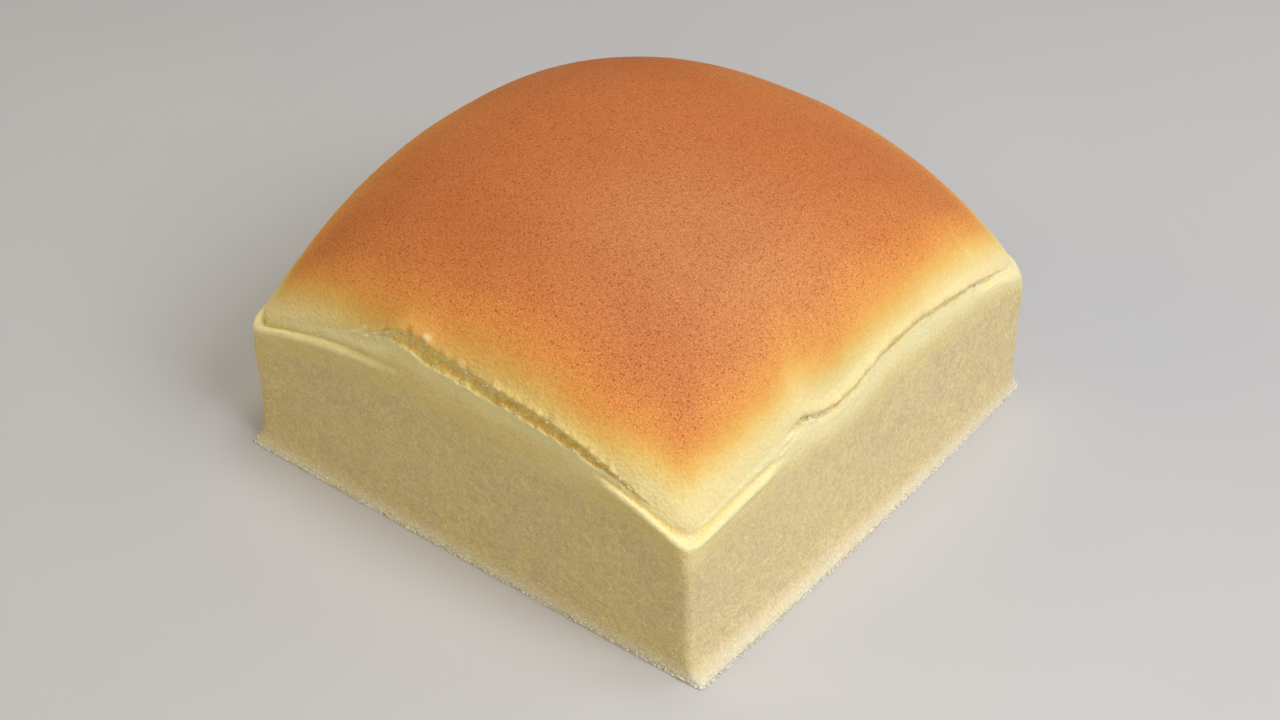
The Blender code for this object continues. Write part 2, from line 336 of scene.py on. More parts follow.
def gape(side, share):
    centre, width, yawn = SIDES[side]["yawn"]
    total = SIDES[side]["gape"] + yawn * bump(share, centre, width)
    for centre, width, more, _ in TEARS[side]["widen"]:
        total = total + more * bump(share, centre, width)
    return crack_strength(side, share) * np.maximum(total, 0)


def lip_shift(side, share):
    """How far the lower lip lies above the solid's, where the tear is wider, narrower or lower."""
    centre, width, drop = TEARS[side]["settle"]
    total = -drop * bump(share, centre, width)
    for centre, width, more, below in TEARS[side]["widen"]:
        total = total - below * more * bump(share, centre, width)
    return total


def leaning(side, share):
    """0 where the band hangs upright from its lip, 1 where it leans in from the rim."""
    least = TEARS[side]["lean"]
    return least + (1 - least) * ridge_strength(side, share)


def plain_height(side, share, level):
    ridge = ridge_height(side, share)
    lip = crack_height(side, share) + lip_shift(side, share)
    if level <= 1:
        return level * ridge
    if level <= 2:
        return ridge + (level - 1) * (lip - ridge)
    return lip + (level - 2) * (gape(side, share) + EDGE_RISE)


def plain_inset(side, share, level):
    if level < 1:
        inset = WAIST * math.sin(math.pi * level)
    else:
        lean = BAND_LEAN * min(level - 1, 3 - level) ** 2 if level < 3 else 0
        lean = lean * (0.35 + 0.65 * leaning(side, share))
        bulge = BAND_BULGE * (0.1 + 0.9 * ridge_strength(side, share))
        inset = lean - bulge * math.sin(math.pi * min(level - 1, 1))
    return inset + bump(np.abs(share), 1, EAR_LENGTH) * EAR_DEPTH * bump(level, 1.7, 0.5)


def turned(side, along, across):
    turn = side * math.pi / 2
    cosine = round(math.cos(turn))
    sine = round(math.sin(turn))
    return along * cosine + across * sine, along * sine - across * cosine


def halves(side, half_x, half_y):
    return (half_x, half_y) if side % 2 == 0 else (half_y, half_x)


def wall_outline(side, share, half_x, half_y, radius):
    half_along, half_across = halves(side, half_x, half_y)
    straight = 1 - radius / half_along
    past = np.maximum(0, np.abs(share) - straight) / (1 - straight)
    bend = np.arctan(past)
    along = np.minimum(np.abs(share), straight) * half_along + radius * np.sin(bend)
    across = half_across - radius + radius * np.cos(bend)
    return turned(side, np.copysign(along, share), across)


def dome_outline(side, share, half_x, half_y):
    half_along, half_across = halves(side, half_x, half_y)
    v = share * (1 - DOME_CORNER) ** (1 / DOME_FULLNESS)
    u = (1 - DOME_CORNER**2 / (1 - np.abs(v) ** DOME_FULLNESS)) ** (1 / DOME_FULLNESS)
    return turned(side, v * half_along, u * half_across)


def stepped_in(x, y, amount):
    right = 0.5 + x / FOOT_X
    back = 0.5 + y / FOOT_Y
    weights = ((1 - right) * (1 - back), right * (1 - back), right * back, (1 - right) * back)
    step_x = sum(weight * step[0] for weight, step in zip(weights, CORNER_STEPS))
    step_y = sum(weight * step[1] for weight, step in zip(weights, CORNER_STEPS))
    return x + amount * step_x, y + amount * step_y


def side_point(side, share, level):
    """Where the wall, band or closed crack lies, before the fold and the crack are cut."""
    z = plain_height(side, share, level)
    inset = plain_inset(side, share, level)
    radius = WALL_RADIUS + (RIM_RADIUS - WALL_RADIUS) * smooth_step(level, 0.8, 1)
    x, y = wall_outline(side, share, FOOT_X / 2 - inset, FOOT_Y / 2 - inset, radius)
    bow = SIDES[side]["bow"] * (1 - share * share) * max(0, 1 - level)
    bow_x, bow_y = turned(side, 0, bow)
    if level > 1:
        inset = inset + DOME_INSET
        dome_x, dome_y = dome_outline(side, share, FOOT_X / 2 - inset, FOOT_Y / 2 - inset)
        upright = LIP_IN * (level - 1) ** 2 if level < 2 else LIP_IN + (1 - LIP_IN) * (level - 2)
        inward = upright + ((level - 1) / 2 - upright) * leaning(side, share)
        x = x + (dome_x - x) * inward
        y = y + (dome_y - y) * inward
    x, y = stepped_in(x + bow_x, y + bow_y, 1 - np.exp(-z / FLARE_HEIGHT))
    return np.stack([x, y, z + 0 * x], -1)


def dome_surface(x, y, half_x, half_y, lift):
    u = x / half_x
    v = y / half_y
    product = (1 - np.abs(u) ** DOME_FULLNESS) * (1 - np.abs(v) ** DOME_FULLNESS)
    puff = np.maximum(0, (product - DOME_CORNER**2) / (1 - DOME_CORNER**2))
    rise = APEX_HEIGHT - lower_edges(np.zeros(1), np.zeros(1))
    z = lower_edges(u, v) + rise * puff**DOME_STEEPNESS + lift
    shift = (1 - u * u) * (1 - v * v)
    x, y = stepped_in(x, y, 1)
    return np.stack([x + APEX_SHIFT[0] * shift, y + APEX_SHIFT[1] * shift, z], -1)


def dome_point(side, share, ring):
    """A point of the dome on the outline scaled by ring."""
    half_x = FOOT_X / 2 - DOME_INSET
    half_y = FOOT_Y / 2 - DOME_INSET
    edge_x, edge_y = dome_outline(side, share, half_x, half_y)
    fade = (1 - (1 - ring) ** (1 / RING_CROWDING)) ** EDGE_FADE
    lift = (crack_waves(side, share) + lip_shift(side, share) + gape(side, share) + EDGE_RISE) * fade
    return dome_surface(edge_x * ring, edge_y * ring, half_x, half_y, lift)


def cap_stations():
    last = CORNER_STATIONS[-1]
    run = np.linspace(-last, last, CAP_INTERVALS + 1)[1:-1]
    ends = np.array(CORNER_STATIONS)
    return np.concatenate([-ends, run, ends[::-1]])


def refined(stations):
    out = np.empty(2 * len(stations) - 1)
    out[0::2] = stations
    out[1::2] = (stations[1:] + stations[:-1]) / 2
    return out


def ring_levels():
    wall = np.linspace(0, 1, WALL_RINGS, endpoint=False)
    wall = 0.35 * (1 - np.cos(math.pi * wall)) + 0.30 * wall
    band = np.linspace(1, 2, BAND_RINGS, endpoint=False)
    crack = np.linspace(2, 3, CRACK_RINGS, endpoint=False)
    skirt = np.linspace(3, 4, SKIRT_RINGS + 1)
    return np.concatenate([wall, band, crack, skirt])


def softened(path, size):
    """Each column of the path smoothed by a bell of the given size, with its two ends kept."""
    pad = 8
    low = 2 * path[:1] - path[pad:0:-1]
    high = 2 * path[-1:] - path[-2:-2 - pad:-1]
    full = np.concatenate([low, path, high])
    arc = arc_lengths(full)
    weight = np.exp(-(((arc[pad:-pad, None] - arc[None]) / size) ** 2) / 2) * np.gradient(arc, axis=0)[None]
    weight /= weight.sum(1, keepdims=True)
    return np.einsum("ijs,jsc->isc", weight, full)


def fractal(points, size, octaves, seed):
    """Noise about -1 to 1 at each point, with features of about size metres."""
    offset = Vector((seed * 17.31, seed * 5.73, -seed * 11.9))
    scaled = points / size
    return np.array([noise.fractal(Vector(p) + offset, 1.0, 2.0, octaves) for p in scaled.tolist()])


def outward_normals(grid):
    along = np.roll(grid, -1, 1) - np.roll(grid, 1, 1)
    upward = np.gradient(grid, axis=0)
    return unit(np.cross(along, upward))


def lip_noise(run, lip, seeds):
    """How far a lip is torn up or down along its run: lip 0 is the lower one, 1 the upper."""
    kinds = zip((FINE_TEAR, BROAD_TEAR), seeds)
    return sum(fractal(run, size, octaves, seed) * heights[lip] for (size, octaves, heights), seed in kinds)


def left_corner(side, share):
    """1 at the corner on the photo's left, where the dome's border is widest."""
    if side in (1, 2):
        return 0 * share
    return bump(share, -1 if side == 0 else 1, LEFT_SPAN)


def side_path(side, shares, levels):
    """One side's points by level and share, with its dome's edge flared and its turns softened."""
    path = np.stack([
        side_point(side, shares, level) if level <= EDGE
        else dome_point(side, shares, 1 - SKIRT * (level - EDGE) ** SKIRT_POWER)
        for level in levels
    ])
    opened = crack_strength(side, shares)
    out = unit(np.gradient(path[row_at(levels, MID_WALL)], axis=0) @ np.array([[0, -1, 0], [1, 0, 0], [0, 0, 0]]))
    away = np.linalg.norm(path - path[row_at(levels, EDGE)], axis=-1)
    above = np.clip(1 - away / FLARE_REACH, 0, 1) ** 2
    flare = np.where(levels[:, None] > EDGE, above, np.clip(levels[:, None] - LIP, 0, 1))
    flare = flare * (1 + LEFT_FLARE * left_corner(side, shares))
    path = path + (EDGE_FLARE * flare)[..., None] * out
    path[..., 2] += FLARE_RAISE * EDGE_FLARE * flare * opened
    soft = softened(path, SOFT_RIM)
    softer = softened(path, SOFT_EDGE)
    turning = softened(path, SOFT_TURN)
    arc = arc_lengths(soft)
    at_edge = (1 - opened) * bump(arc - arc[row_at(levels, EDGE)], 0, EDGE_REACH)
    at_rim = (1 - crest_strength(side, shares)) * bump(arc - arc[row_at(levels, RIM)], 0, TURN_REACH)
    at_rim = at_rim * np.clip(LIP - levels[:, None], 0, 1) ** 0.5
    return soft + (softer - soft) * at_edge[..., None] + (turning - soft) * at_rim[..., None]


def ring_grid(shares, levels):
    """Every ring's points with the fold, the crack and its torn lips cut in, and their attributes."""
    grid = np.concatenate([side_path(side, shares, levels) for side in range(4)], 1)

    def around(function):
        return np.concatenate([function(side, shares) for side in range(4)])

    def per_side(name):
        return np.repeat([TEARS[side][name] for side in range(4)], len(shares))

    def arc_from(level):
        arc = arc_lengths(grid)
        return arc - arc[row_at(levels, level)]

    cut = around(crack_strength)
    ridge = around(ridge_strength)
    crested = around(crest_strength)
    all_shares = np.tile(np.abs(shares), 4)
    from_rim = arc_from(RIM)
    from_lip = arc_from(LIP)
    from_edge = arc_from(EDGE)
    flat = unit(outward_normals(grid)[row_at(levels, MID_WALL)] * (1, 1, 0))

    # The rim's crest and the fold above it
    fold_at = FOLD_AT + FOLD_AT_CORNER * bump(all_shares, 1, 0.06)
    crest = CREST[0] * bump(from_rim, 0, CREST[1])
    groove = bump(from_rim, fold_at, FOLD[1])
    step = crested * (crest - FOLD[0] * groove)
    grid = grid + outward_normals(grid) * step[..., None]

    # The crack: a shelf behind the lower lip, then a torn wall under the upper one
    inside = np.clip(levels - LIP, 0, 1)
    hollow = np.clip(1 - np.abs(2 * inside - 1) ** 3, 0, 1) ** 0.8
    sunk = np.sin(math.pi * inside) ** 0.8 * (1 - 0.4 * inside)
    grid = grid - (hollow[:, None] * per_side("depth") * cut)[..., None] * flat
    grid[..., 2] -= sunk[:, None] * per_side("sag") * cut

    # Torn bits and pits
    bits = 0 * from_edge
    for side, share, share_width, above, width, height in BITS:
        on_side = np.arange(grid.shape[1]) // len(shares) == side
        here = on_side * bump(np.tile(shares, 4), share, share_width)
        bits = bits + height * here * bump(from_edge, above, width)
    grid = grid + outward_normals(grid) * bits[..., None]

    # Torn lips
    lip = per_side("lip") * bump(from_lip, 0, per_side("wide")) * cut
    rolled = per_side("roll") * bump(from_edge, per_side("over"), ROLL_WIDTH) * cut * (from_edge > ROLL_FROM)
    upper = smooth_step(inside[:, None], 0.80, 1.0)
    grid = grid + (lip + rolled * upper)[..., None] * flat
    run = grid[row_at(levels, LIP)]
    rough = cut * per_side("ragged")
    lower_tear = lip_noise(run, 0, (11, 13)) * rough
    upper_tear = lip_noise(run, 1, (12, 14)) * rough
    grid[..., 2] += lower_tear * bump(from_lip, *LOWER_TEAR_UP)
    grid = grid + (lower_tear * LOWER_TEAR_LEAN * bump(from_lip, *LOWER_TEAR_OUT))[..., None] * flat
    grid[..., 2] += upper_tear * bump(from_edge, *UPPER_TEAR_UP) * upper
    grid = grid + (upper_tear * bump(from_edge, *UPPER_TEAR_OUT) * upper)[..., None] * flat

    # Attributes for the material: bake, brown and rim in millimetres from the dome's edge and the rim, the rest 0 to 1
    from_edge_straight = np.linalg.norm(grid - grid[row_at(levels, EDGE)], axis=-1)
    bake = np.where(levels[:, None] > EDGE, from_edge_straight, from_edge)
    # The lit attribute is painted highlight: pale under the lower lip and on the ridge's strip
    highlight_under_lip = smooth_step(from_lip / per_side("pale"), -1, 0)
    highlight_on_ridge = ridge * smooth_step(from_rim, *RIDGE_LIT)
    values = dict(
        bake=bake * 1000,
        brown=bake * 1000 + around(early_browning),
        crack=cut * np.sin(math.pi * inside)[:, None] ** 0.6,
        shelf=inside[:, None] + 0 * from_rim,
        rim=from_rim * 1000,
        groove=crested * bump(from_rim, fold_at, FOLD[1] * 0.8),
        lit=np.maximum(highlight_under_lip, highlight_on_ridge),
        gold=per_side("gold") + 0 * from_rim,
        fleck=np.clip(bits / FLECK_HEIGHT, 0, 1),
    )
    return grid, values


def early_browning(side, share):
    """How many millimetres nearer the edge the crust browns."""
    return sum(more * bump(share, centre, width) for centre, width, more in BROWNING[side])


def new_object(name, points, faces):
    mesh = bpy.data.meshes.new(name)
    mesh.from_pydata(points, [], faces)
    mesh.update()
    thing = bpy.data.objects.new(name, mesh)
    bpy.context.scene.collection.objects.link(thing)
    return thing


def store(thing, name, values):
    attribute = thing.data.attributes.new(name, "FLOAT", "POINT")
    attribute.data.foreach_set("value", values.astype(np.float32))


def build_cake():
    """The cake's mesh, with attributes for its material."""
    cap = cap_stations()
    fine = refined(refined(cap))
    levels = ring_levels()
    grid, values = ring_grid(fine[:-1], levels)
    counts = []
    points = []
    kept = {name: [] for name in values}
    for number, level in enumerate(levels):
        stride = 4 if level >= CAP else 1 if FINE_FROM <= level <= FINE_TO else 2
        points.append(grid[number, ::stride])
        counts.append(len(points[-1]))
        for name in values:
            kept[name].append(values[name][number, ::stride])
    starts = np.concatenate([[0], np.cumsum(counts)])

    across, along = np.meshgrid(cap, cap, indexing="ij")
    loop = np.maximum(np.abs(across), np.abs(along))
    around = np.maximum(loop, 1e-6)
    sector = np.select([along == -loop, across == loop, along == loop], [0, 1, 2], 3)
    outward = (across, along, -across, -along)
    dome = np.zeros(loop.shape + (3,))
    bake = np.zeros(loop.shape)
    brown = np.zeros(loop.shape)
    for side in range(4):
        here = sector == side
        share = np.clip(outward[side][here] / around[here], -1, 1)
        dome[here] = dome_point(side, share, loop[here] * (1 - SKIRT))
        bake[here] = np.linalg.norm(dome[here] - dome_point(side, share, 1.0), axis=-1) * 1000
        brown[here] = bake[here] + early_browning(side, share)
    inner = dome[1:-1, 1:-1].reshape(-1, 3)
    inner_bake = bake[1:-1, 1:-1].ravel()
    inner_brown = brown[1:-1, 1:-1].ravel()
    of_cap = dict(bake=inner_bake, brown=inner_brown, crack=0, shelf=1, rim=60, groove=0, lit=1, gold=0, fleck=0)
    for name in values:
        kept[name].append(of_cap[name] + np.zeros(len(inner)))
    points = np.concatenate(points + [inner])
    points[:, 0] += CENTRING[0]
    points[:, 1] += CENTRING[1]
    values = {name: np.concatenate(kept[name]) for name in kept}

    faces = [list(range(counts[0]))[::-1]]
    for number in range(len(levels) - 1):
        faces += stitched(starts[number], counts[number], starts[number + 1], counts[number + 1])
    last = len(cap) - 1
    ids = np.zeros((last + 1, last + 1), int)
    ids[1:-1, 1:-1] = starts[-1] + np.arange(len(inner)).reshape(last - 1, last - 1)
    edge = starts[-2] + np.arange(4 * last)
    ids[:last, 0] = edge[:last]
    ids[last, :last] = edge[last:2 * last]
    ids[last:0:-1, last] = edge[2 * last:3 * last]
    ids[0, last:0:-1] = edge[3 * last:]
    faces += np.stack([ids[:-1, :-1], ids[1:, :-1], ids[1:, 1:], ids[:-1, 1:]], -1).reshape(-1, 4).tolist()

    cake = new_object("cake_sponge", points.tolist(), faces)
    for name in values:
        store(cake, name, values[name])
    cake.data.shade_smooth()
    return cake, points, values


def stitched(low, low_count, high, high_count):
    """Faces between two rings, of which one may have twice the other's points."""
    if low_count == high_count:
        a = np.arange(low_count)
        b = (a + 1) % low_count
        return np.stack([low + a, low + b, high + b, high + a], -1).tolist()
    a = np.arange(min(low_count, high_count))
    b = (a + 1) % len(a)
    if high_count > low_count:
        return np.stack([low + a, low + b, high + 2 * b, high + 2 * a + 1, high + 2 * a], -1).tolist()
    return np.stack([low + 2 * a, low + 2 * a + 1, low + 2 * b, high + b, high + a], -1).tolist()


def add_relief(cake, points, values):
    """Moves each point along its normal, for the crumb on the sides and the skin of the crust."""
    mesh = cake.data
    normals = np.zeros(len(points) * 3, np.float32)
    mesh.vertices.foreach_get("normal", normals)
    normals = normals.reshape(-1, 3)
    skin = smooth_step(values["bake"], 2, 14)
    on_wall = 1 - smooth_step(values["bake"], -3, 2)
    above_foot = smooth_step(points[:, 2], 0, 0.002)
    swell = fractal(points, SWELL_SIZE, 2, 1)
    grain = fractal(points, GRAIN_SIZE, 3, 2)
    torn = fractal(points, TORN_SIZE, 3, 3)
    relief = swell * (WALL_SWELL * on_wall + CRUST_SWELL * skin)
    relief += grain * (CRUMB_GRAIN * on_wall + CRUMB_GRAIN * (1 - on_wall) * (1 - skin) + CRUST_GRAIN * skin)
    relief += (grain * CRACK_GRAIN + torn * CRACK_GRAIN) * values["crack"]
    relief += torn * EDGE_GRAIN * bump(values["bake"], -2, 4)
    relief *= above_foot
    moved = points + normals * relief[:, None]
    mesh.vertices.foreach_set("co", moved.astype(np.float32).ravel())
    mesh.update()
    return moved, normals


# A regular solid of 20 faces, from which each crumb is made
LUMP = np.array([
    (0, -1, -1.618), (0, 1, -1.618), (0, -1, 1.618), (0, 1, 1.618), (-1, -1.618, 0), (1, -1.618, 0),
    (-1, 1.618, 0), (1, 1.618, 0), (-1.618, 0, -1), (-1.618, 0, 1), (1.618, 0, -1), (1.618, 0, 1),
]) / 1.902
LUMP_FACES = np.array([
    (0, 1, 10), (0, 8, 1), (2, 11, 3), (2, 3, 9), (0, 5, 4), (2, 4, 5), (1, 6, 7), (3, 7, 6),
    (4, 9, 8), (6, 8, 9), (5, 10, 11), (7, 11, 10), (0, 10, 5), (0, 4, 8), (1, 7, 10), (1, 8, 6),
    (2, 5, 11), (2, 9, 4), (3, 11, 7), (3, 6, 9),
])


def scattered(rng, weight, count):
    return rng.choice(len(weight), count, p=weight / weight.sum())


def add_crumbs(points, normals, values):
    """Tiny crumbs: a fringe round the foot, dust on the lower walls, and torn bits in the crack and the fold."""
    rng = np.random.default_rng(11)
    height = points[:, 2]
    on_side = values["rim"] < -1
    weights = dict(
        foot=np.where(on_side & (height < FOOT_BELOW), 1.0, 0.0),
        dust=np.where(on_side & (height > WALL_ABOVE), np.exp(-height / DUST_FADE), 0.0),
        torn=np.where(values["crack"] > 0.25, 0.3 + values["gold"], 0.0),
        fold=np.where(values["groove"] > 0.35, values["groove"], 0.0),
    )
    centres = []
    radii = []
    tints = []
    for kind, (count, (small, large), out, golden) in CRUMBS.items():
        chosen = scattered(rng, weights[kind], count)
        radius = small + (large - small) * rng.random(count) ** 2
        stray = rng.normal(0, CRUMB_STRAY, (count, 3)) * (1 - np.abs(normals[chosen]))
        centre = points[chosen] + stray
        centre += normals[chosen] * (radius * 0.2 + out * rng.random(count) ** 1.5)[:, None]
        if out:
            centre[:, 2] = radius * 0.7 + rng.exponential(CRUMB_PILE, count)
        centres.append(centre)
        radii.append(radius)
        tints.append(golden * values["gold"][chosen] * (0.5 + 0.5 * rng.random(count)))
    centres = np.concatenate(centres)
    radii = np.concatenate(radii)
    tints = np.concatenate(tints)
    turns, _ = np.linalg.qr(rng.normal(size=(len(radii), 3, 3)))
    shape = LUMP[None] * (1 + rng.uniform(-0.35, 0.35, (len(radii), len(LUMP), 1)))
    shape = shape * rng.uniform(0.7, 1.2, (len(radii), 1, 3))
    lumps = np.einsum("nij,nvj->nvi", turns, shape) * radii[:, None, None] + centres[:, None]
    lumps[..., 2] = np.maximum(lumps[..., 2], 0)
    faces = LUMP_FACES[None] + (np.arange(len(radii)) * len(LUMP))[:, None, None]
    crumbs = new_object("cake_crumbs", lumps.reshape(-1, 3).tolist(), faces.reshape(-1, 3).tolist())
    store(crumbs, "tint", np.repeat(tints, len(LUMP)))
    crumbs.data.shade_smooth()
    return crumbs


def add_fibres(points, normals, values):
    """Fine crumb fibres that stand out of the sides, thickest along the foot."""
    rng = np.random.default_rng(12)
    height = points[:, 2]
    on_side = values["rim"] < -1
    weights = dict(
        foot=np.where(on_side & (height < FIBRE_FOOT_BELOW), 1.0, 0.0),
        wall=np.where(on_side & (height > WALL_ABOVE), 0.25 + np.exp(-height / FIBRE_FADE), 0.0),
    )
    roots = []
    tips = []
    for kind, (count, (short, long), stray) in FIBRES.items():
        chosen = scattered(rng, weights[kind], count)
        out = normals[chosen]
        root = points[chosen] + rng.normal(0, stray, (count, 3)) * (1 - np.abs(out))
        length = short + (long - short) * rng.random(count) ** 2
        way = unit(out * 0.8 + rng.normal(0, 0.45, (count, 3)))
        roots.append(root - out * FIBRE_ROOT)
        tips.append(root + way * length[:, None])
    roots = np.concatenate(roots)
    tips = np.concatenate(tips)
    roots[:, 2] = np.maximum(roots[:, 2], 0.0001)
    tips[:, 2] = np.maximum(tips[:, 2], 0.00005)
    way = tips - roots
    side = unit(np.cross(way, rng.normal(size=way.shape)))
    other = unit(np.cross(way, side))
    thick = rng.uniform(*FIBRE_THICKNESS, (len(way), 1))
    thirds = (0.0, 2.094, 4.189)
    base = [roots + thick * (math.cos(turn) * side + math.sin(turn) * other) for turn in thirds]
    spikes = np.stack([*base, tips], 1)
    spikes[..., 2] = np.maximum(spikes[..., 2], 0)
    corners = np.array([(0, 1, 3), (1, 2, 3), (2, 0, 3)])
    faces = corners[None] + (np.arange(len(way)) * 4)[:, None, None]
    fuzz = new_object("cake_fuzz", spikes.reshape(-1, 3).tolist(), faces.reshape(-1, 3).tolist())
    fuzz.data.shade_smooth()
    return fuzz


class Nodes:
    """A short way to write a material's nodes."""

    def __init__(self, name):
        self.material = bpy.data.materials.new(name)
        self.material.use_nodes = True
        self.tree = self.material.node_tree
        self.shader = self.tree.nodes["Principled BSDF"]

    def add(self, kind, **inputs):
        node = self.tree.nodes.new(kind)
        for name, value in inputs.items():
            self.put(node.inputs[name.replace("_", " ")], value)
        return node

    def put(self, socket, value):
        if isinstance(value, bpy.types.NodeSocket):
            self.tree.links.new(value, socket)
        else:
            socket.default_value = value

    def math(self, operation, first, second=0.0, third=0.0):
        node = self.tree.nodes.new("ShaderNodeMath")
        node.operation = operation
        for socket, value in zip(node.inputs, (first, second, third)):
            self.put(socket, value)
        return node.outputs[0]

    def mix(self, factor, first, second, blend="MIX"):
        node = self.tree.nodes.new("ShaderNodeMix")
        node.data_type = "RGBA"
        node.blend_type = blend
        self.put(node.inputs[0], factor)
        self.put(node.inputs[6], first)
        self.put(node.inputs[7], second)
        return node.outputs[2]

    def times(self, first, second):
        return self.math("MULTIPLY", first, second)

    def plus(self, first, second):
        return self.math("ADD", first, second)

    def rest(self, value):
        return self.math("SUBTRACT", 1.0, value)

    def swing(self, value, reach):
        """Turns 0 to 1 into a swing about zero, reach from end to end."""
        return self.math("MULTIPLY_ADD", value, reach, -reach / 2)

    def tinted(self, factor, colour, tint):
        """The colour multiplied by the tint where the factor is 1."""
        return self.mix(factor, colour, self.mix(1.0, colour, tint, "MULTIPLY"))

    def ramp(self, factor, stops):
        node = self.tree.nodes.new("ShaderNodeValToRGB")
        elements = node.color_ramp.elements
        while len(elements) < len(stops):
            elements.new(0.5)
        for element, (place, colour) in zip(elements, stops):
            element.position = place
            element.color = (*colour, 1) if len(colour) == 3 else colour
        self.put(node.inputs[0], factor)
        return node.outputs[0]

    def noise(self, vector, scale, detail=2.0, roughness=0.5, distortion=0.0):
        node = self.add("ShaderNodeTexNoise", Vector=vector, Scale=scale, Detail=detail,
                        Roughness=roughness, Distortion=distortion)
        return node.outputs["Fac"]

    def spread(self, value, low, high):
        node = self.tree.nodes.new("ShaderNodeMapRange")
        node.interpolation_type = "SMOOTHSTEP"
        self.put(node.inputs["Value"], value)
        node.inputs["From Min"].default_value = low
        node.inputs["From Max"].default_value = high
        return node.outputs["Result"]

    def stretch(self, vector, amounts):
        node = self.tree.nodes.new("ShaderNodeVectorMath")
        node.operation = "MULTIPLY"
        self.put(node.inputs[0], vector)
        node.inputs[1].default_value = amounts
        return node.outputs["Vector"]

    def attribute(self, name):
        node = self.tree.nodes.new("ShaderNodeAttribute")
        node.attribute_name = name
        return node.outputs["Fac"]


def srgb(red, green, blue):
    """Linear colour and full opacity of an sRGB colour given from 0 to 255."""
    out = []
    for value in (red, green, blue):
        value /= 255
        out.append(value / 12.92 if value <= 0.04045 else ((value + 0.055) / 1.055) ** 2.4)
    return (*out, 1)


# The crust's colours by millimetres of browning, as shares of the deepest
DEEPEST_BROWN = 50.0
BROWNS = (
    (0.00, srgb(252, 232, 168)),
    (0.07, srgb(251, 228, 160)),
    (0.16, srgb(246, 211, 126)),
    (0.22, srgb(244, 191, 102)),
    (0.30, srgb(236, 167, 84)),
    (0.40, srgb(229, 149, 75)),
    (0.56, srgb(214, 131, 70)),
    (0.90, srgb(204, 120, 66)),
)
SPECULAR = 0.15


def crust_colour(n, place, browned, pit):
    """From golden at the dome's edge to red-brown, with pores, specks and a pale, pinker patch that is partly painted
    highlight.
    """
    crust = n.ramp(n.math("DIVIDE", browned, DEEPEST_BROWN), BROWNS)
    blotch = n.noise(place, 26, 3, 0.6)
    crust = n.tinted(n.times(n.spread(blotch, 0.42, 0.70), 0.22), crust, (0.85, 0.74, 0.68, 1))
    crust = n.tinted(n.times(pit, 0.80), crust, (0.66, 0.42, 0.28, 1))
    speck = n.noise(place, 2500, 3, 0.75)
    speckled = n.ramp(speck, ((0.36, (0.73, 0.58, 0.45)), (0.50, (1.0, 1.0, 1.0)), (0.64, (1.24, 1.38, 1.50))))
    crust = n.tinted(n.spread(browned, 6, 24), crust, speckled)
    # A paler, pinker patch over the middle of the dome, toward its front right: partly paler browning, partly painted
    # highlight
    away = n.add("ShaderNodeVectorMath")
    away.operation = "DISTANCE"
    n.put(away.inputs[0], n.stretch(place, (1, 1.25, 1)))
    away.inputs[1].default_value = (0.037, -0.025, 0.080)
    paler_browning_and_highlight = n.rest(n.spread(away.outputs["Value"], 0.008, 0.058))
    return n.tinted(n.times(paler_browning_and_highlight, n.spread(browned, 8, 24)), crust, (1.05, 1.27, 1.48, 1))


def crumb_colour(n, place, lit):
    """The sides: smooth and yellow near the rim, paler and fuzzy below, with painted highlight on the ridge and under
    the lip.
    """
    rim = n.attribute("rim")
    patch = n.noise(place, 70, 4, 0.6, 0.6)
    sink = n.swing(n.noise(place, 120, 3, 0.6), 10.0)
    fuzzy = n.spread(n.plus(n.times(rim, -1.0), sink), 1, 12)
    pale = n.mix(n.spread(patch, 0.40, 0.60), srgb(240, 219, 159), srgb(236, 214, 162))
    drawn = n.noise(n.stretch(place, (1, 1, 4)), 85, 3, 0.6)
    smooth = n.mix(n.spread(drawn, 0.38, 0.62), srgb(244, 220, 148), srgb(248, 227, 160))
    crumb = n.mix(fuzzy, smooth, pale)
    curl = n.noise(place, 420, 4, 0.7, 1.4)
    curled = n.ramp(curl, ((0.34, (0.86, 0.84, 0.80)), (0.66, (1.08, 1.08, 1.10))))
    crumb = n.tinted(n.math("MULTIPLY_ADD", fuzzy, 0.8, 0.2), crumb, curled)
    height = n.add("ShaderNodeSeparateXYZ", Vector=place).outputs["Z"]
    foot = n.rest(n.spread(height, 0.0004, 0.0060))
    crumb = n.mix(n.times(foot, 0.75), crumb, srgb(249, 235, 196))
    # Painted highlight on the ridge's strip and under the lower lip
    crumb = n.mix(n.spread(lit, 0.1, 1.0), crumb, srgb(255, 238, 176))
    return n.mix(n.times(n.attribute("groove"), 0.55), crumb, srgb(243, 212, 124))


def torn_colour(n, place):
    """Inside the crack: a golden floor and a paler torn wall."""
    golden = n.spread(n.noise(place, 480, 4, 0.7), 0.38, 0.60)
    floor = n.mix(golden, srgb(255, 230, 142), srgb(252, 205, 104))
    torn = n.mix(golden, srgb(250, 228, 154), srgb(243, 208, 124))
    ragged = n.plus(n.attribute("shelf"), n.swing(n.noise(place, 330, 3, 0.7), 1.0))
    deep = n.mix(n.spread(ragged, 0.44, 0.68), floor, torn)
    return n.mix(n.attribute("gold"), n.mix(0.75, deep, srgb(236, 222, 168)), deep)


def fine_relief(n, place, in_crust, pit):
    """Relief finer than the mesh: skin and pores on the crust, open cells on the crumb."""
    skin = n.times(n.noise(place, 850, 2, 0.55), 0.9)
    crust_relief = n.plus(skin, n.times(pit, -0.35))
    cells = n.add("ShaderNodeTexVoronoi", Vector=place, Scale=900, Randomness=1.0).outputs["Distance"]
    fluff = n.noise(place, 1500, 3, 0.7)
    crumb_relief = n.plus(n.times(cells, 0.7), n.times(fluff, 0.8))
    relief = n.plus(n.times(crust_relief, in_crust), n.times(crumb_relief, n.rest(in_crust)))
    return n.add("ShaderNodeBump", Strength=0.8, Distance=0.00030, Height=relief).outputs["Normal"]


